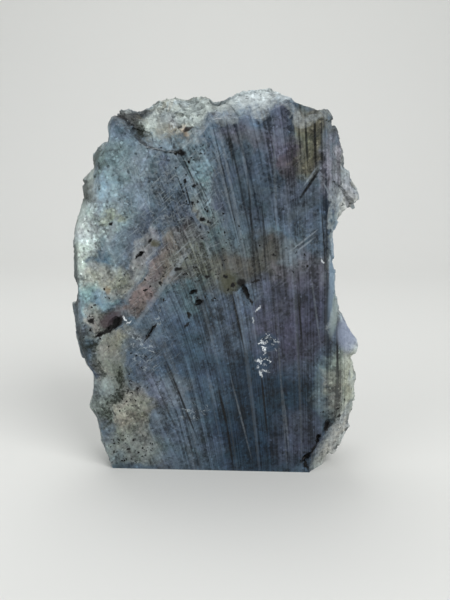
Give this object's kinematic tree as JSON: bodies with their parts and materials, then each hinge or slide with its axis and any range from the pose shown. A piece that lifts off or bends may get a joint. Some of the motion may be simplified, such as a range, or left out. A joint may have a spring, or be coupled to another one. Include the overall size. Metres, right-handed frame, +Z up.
{
  "type": "free-standing labradorite slab",
  "caption": "Upright free-form stone slab with a flat polished front face, a broken rim and back, and a sawn base that it stands on.",
  "frame": {"origin": "middle of the slab's outline, on the plane it stands on", "axes": "+Z up, polished face towards -Y, +X to the right seen from the front"},
  "size_m": [0.0858, 0.0328, 0.113],
  "materials": {
    "stone": "labradorite: polished to a gloss on the front face, rough broken feldspar on the rim and back, sawn matt on the base"
  },
  "bodies": {
    "root": {"labradorite_slab": "stone"}
  },
  "joints": []
}
